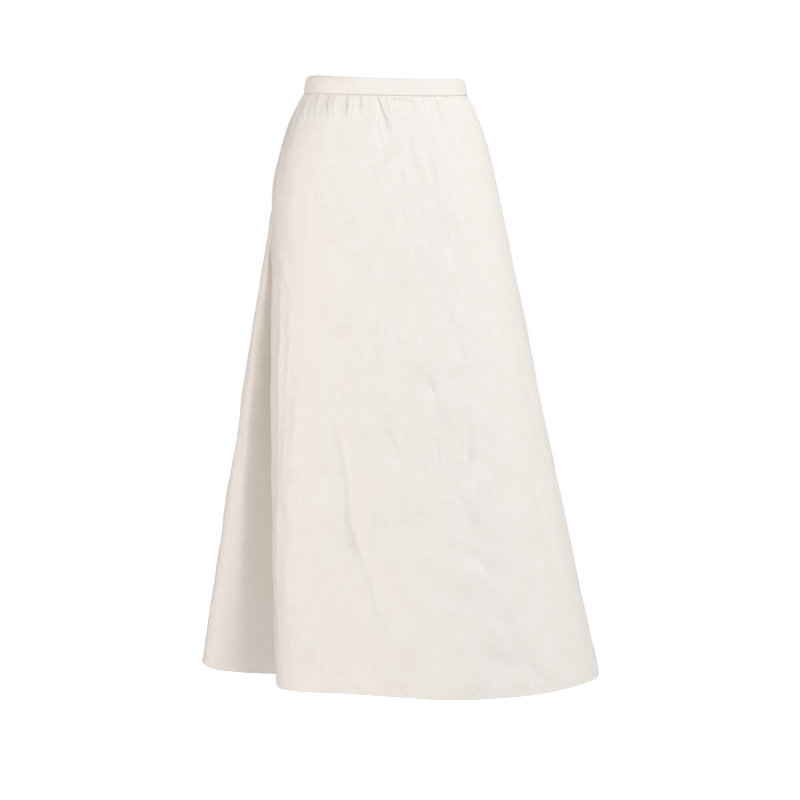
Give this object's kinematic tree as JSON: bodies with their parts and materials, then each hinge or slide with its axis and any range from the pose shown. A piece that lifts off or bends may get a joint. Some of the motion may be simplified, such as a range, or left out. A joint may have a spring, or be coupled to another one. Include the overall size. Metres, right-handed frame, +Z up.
{
  "type": "midi skirt",
  "caption": "A-line linen midi skirt, filled out as worn and hollow, with a narrow waistband, gathers at the sides and back, and a plain turned hem.",
  "frame": {"origin": "centre of the waistband, at half its height, where the waist holds the skirt", "axes": "+Z up, -Y the wearer's front, +X the wearer's left"},
  "size_m": [0.5185, 0.5604, 0.8799],
  "materials": {
    "linen": "matte plain-weave linen with slubs, undyed cream",
    "band_linen": "matte plain-weave linen folded double, undyed cream"
  },
  "bodies": {
    "root": {"front_panel": "linen", "back_panel": "linen", "waistband_front": "band_linen", "waistband_back": "band_linen"}
  },
  "joints": []
}
